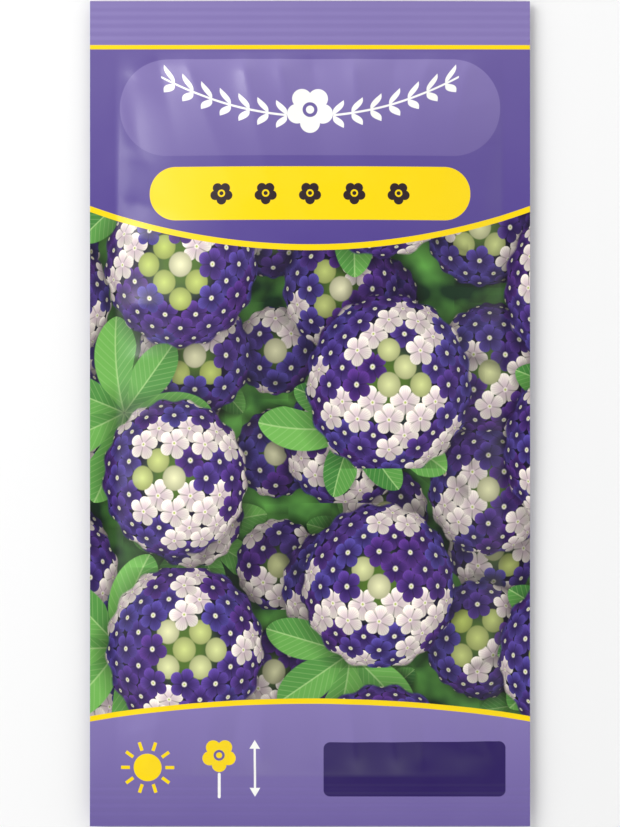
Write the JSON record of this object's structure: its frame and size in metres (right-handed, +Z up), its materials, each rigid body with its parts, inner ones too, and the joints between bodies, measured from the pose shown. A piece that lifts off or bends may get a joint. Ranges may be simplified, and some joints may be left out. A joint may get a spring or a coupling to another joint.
{
  "type": "seed packet",
  "caption": "Flat sealed flower seed packet lying on its back: a printed front web and a back web sealed along all four edges, swollen a little in the middle, with loose seeds inside.",
  "frame": {"origin": "middle of the packet's footprint, on the surface that it lies on", "axes": "+Z up out of the printed front, +Y to the packet's top edge, +X to the right as the front is looked at"},
  "size_m": [0.08, 0.15, 0.0059],
  "materials": {
    "printed_front": "coated paper laminate, printed and glossy",
    "printed_back": "coated paper laminate, printed, satin",
    "seed_coat": "smooth mottled seed coat"
  },
  "bodies": {
    "root": {"front_web": "printed_front", "back_web": "printed_back", "seed_01": "seed_coat", "seed_02": "seed_coat", "seed_03": "seed_coat", "seed_04": "seed_coat", "seed_05": "seed_coat", "seed_06": "seed_coat", "seed_07": "seed_coat", "seed_08": "seed_coat", "seed_09": "seed_coat", "seed_10": "seed_coat", "seed_11": "seed_coat", "seed_12": "seed_coat", "seed_13": "seed_coat", "seed_14": "seed_coat", "seed_15": "seed_coat", "seed_16": "seed_coat", "seed_17": "seed_coat", "seed_18": "seed_coat", "seed_19": "seed_coat", "seed_20": "seed_coat"}
  },
  "joints": []
}
